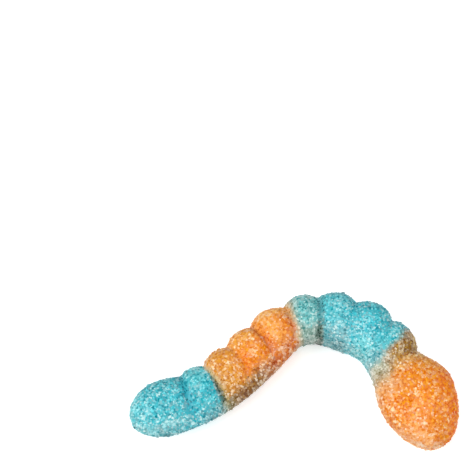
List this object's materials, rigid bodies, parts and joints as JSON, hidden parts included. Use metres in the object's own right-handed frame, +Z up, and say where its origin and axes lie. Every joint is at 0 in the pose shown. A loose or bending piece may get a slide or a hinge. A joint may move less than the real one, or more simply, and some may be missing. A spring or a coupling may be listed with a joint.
{
  "type": "gummy worm",
  "caption": "Sugar-coated gummy worm with ringed lobes and a round head, bent in a loose curve and lying on its side.",
  "frame": {"origin": "on the floor under the middle of the worm's box", "axes": "+Z up, +X from the tail's side to the head's side, +Y towards the outside of the bend"},
  "size_m": [0.0654, 0.0334, 0.0147],
  "materials": {
    "gummy": "soft translucent gelatine in orange and blue bands, frosted with coarse sugar",
    "sugar": "coarse clear sugar crystals, tinted by the gummy under them"
  },
  "bodies": {
    "root": {"gummy_worm": "gummy"}
  },
  "joints": []
}
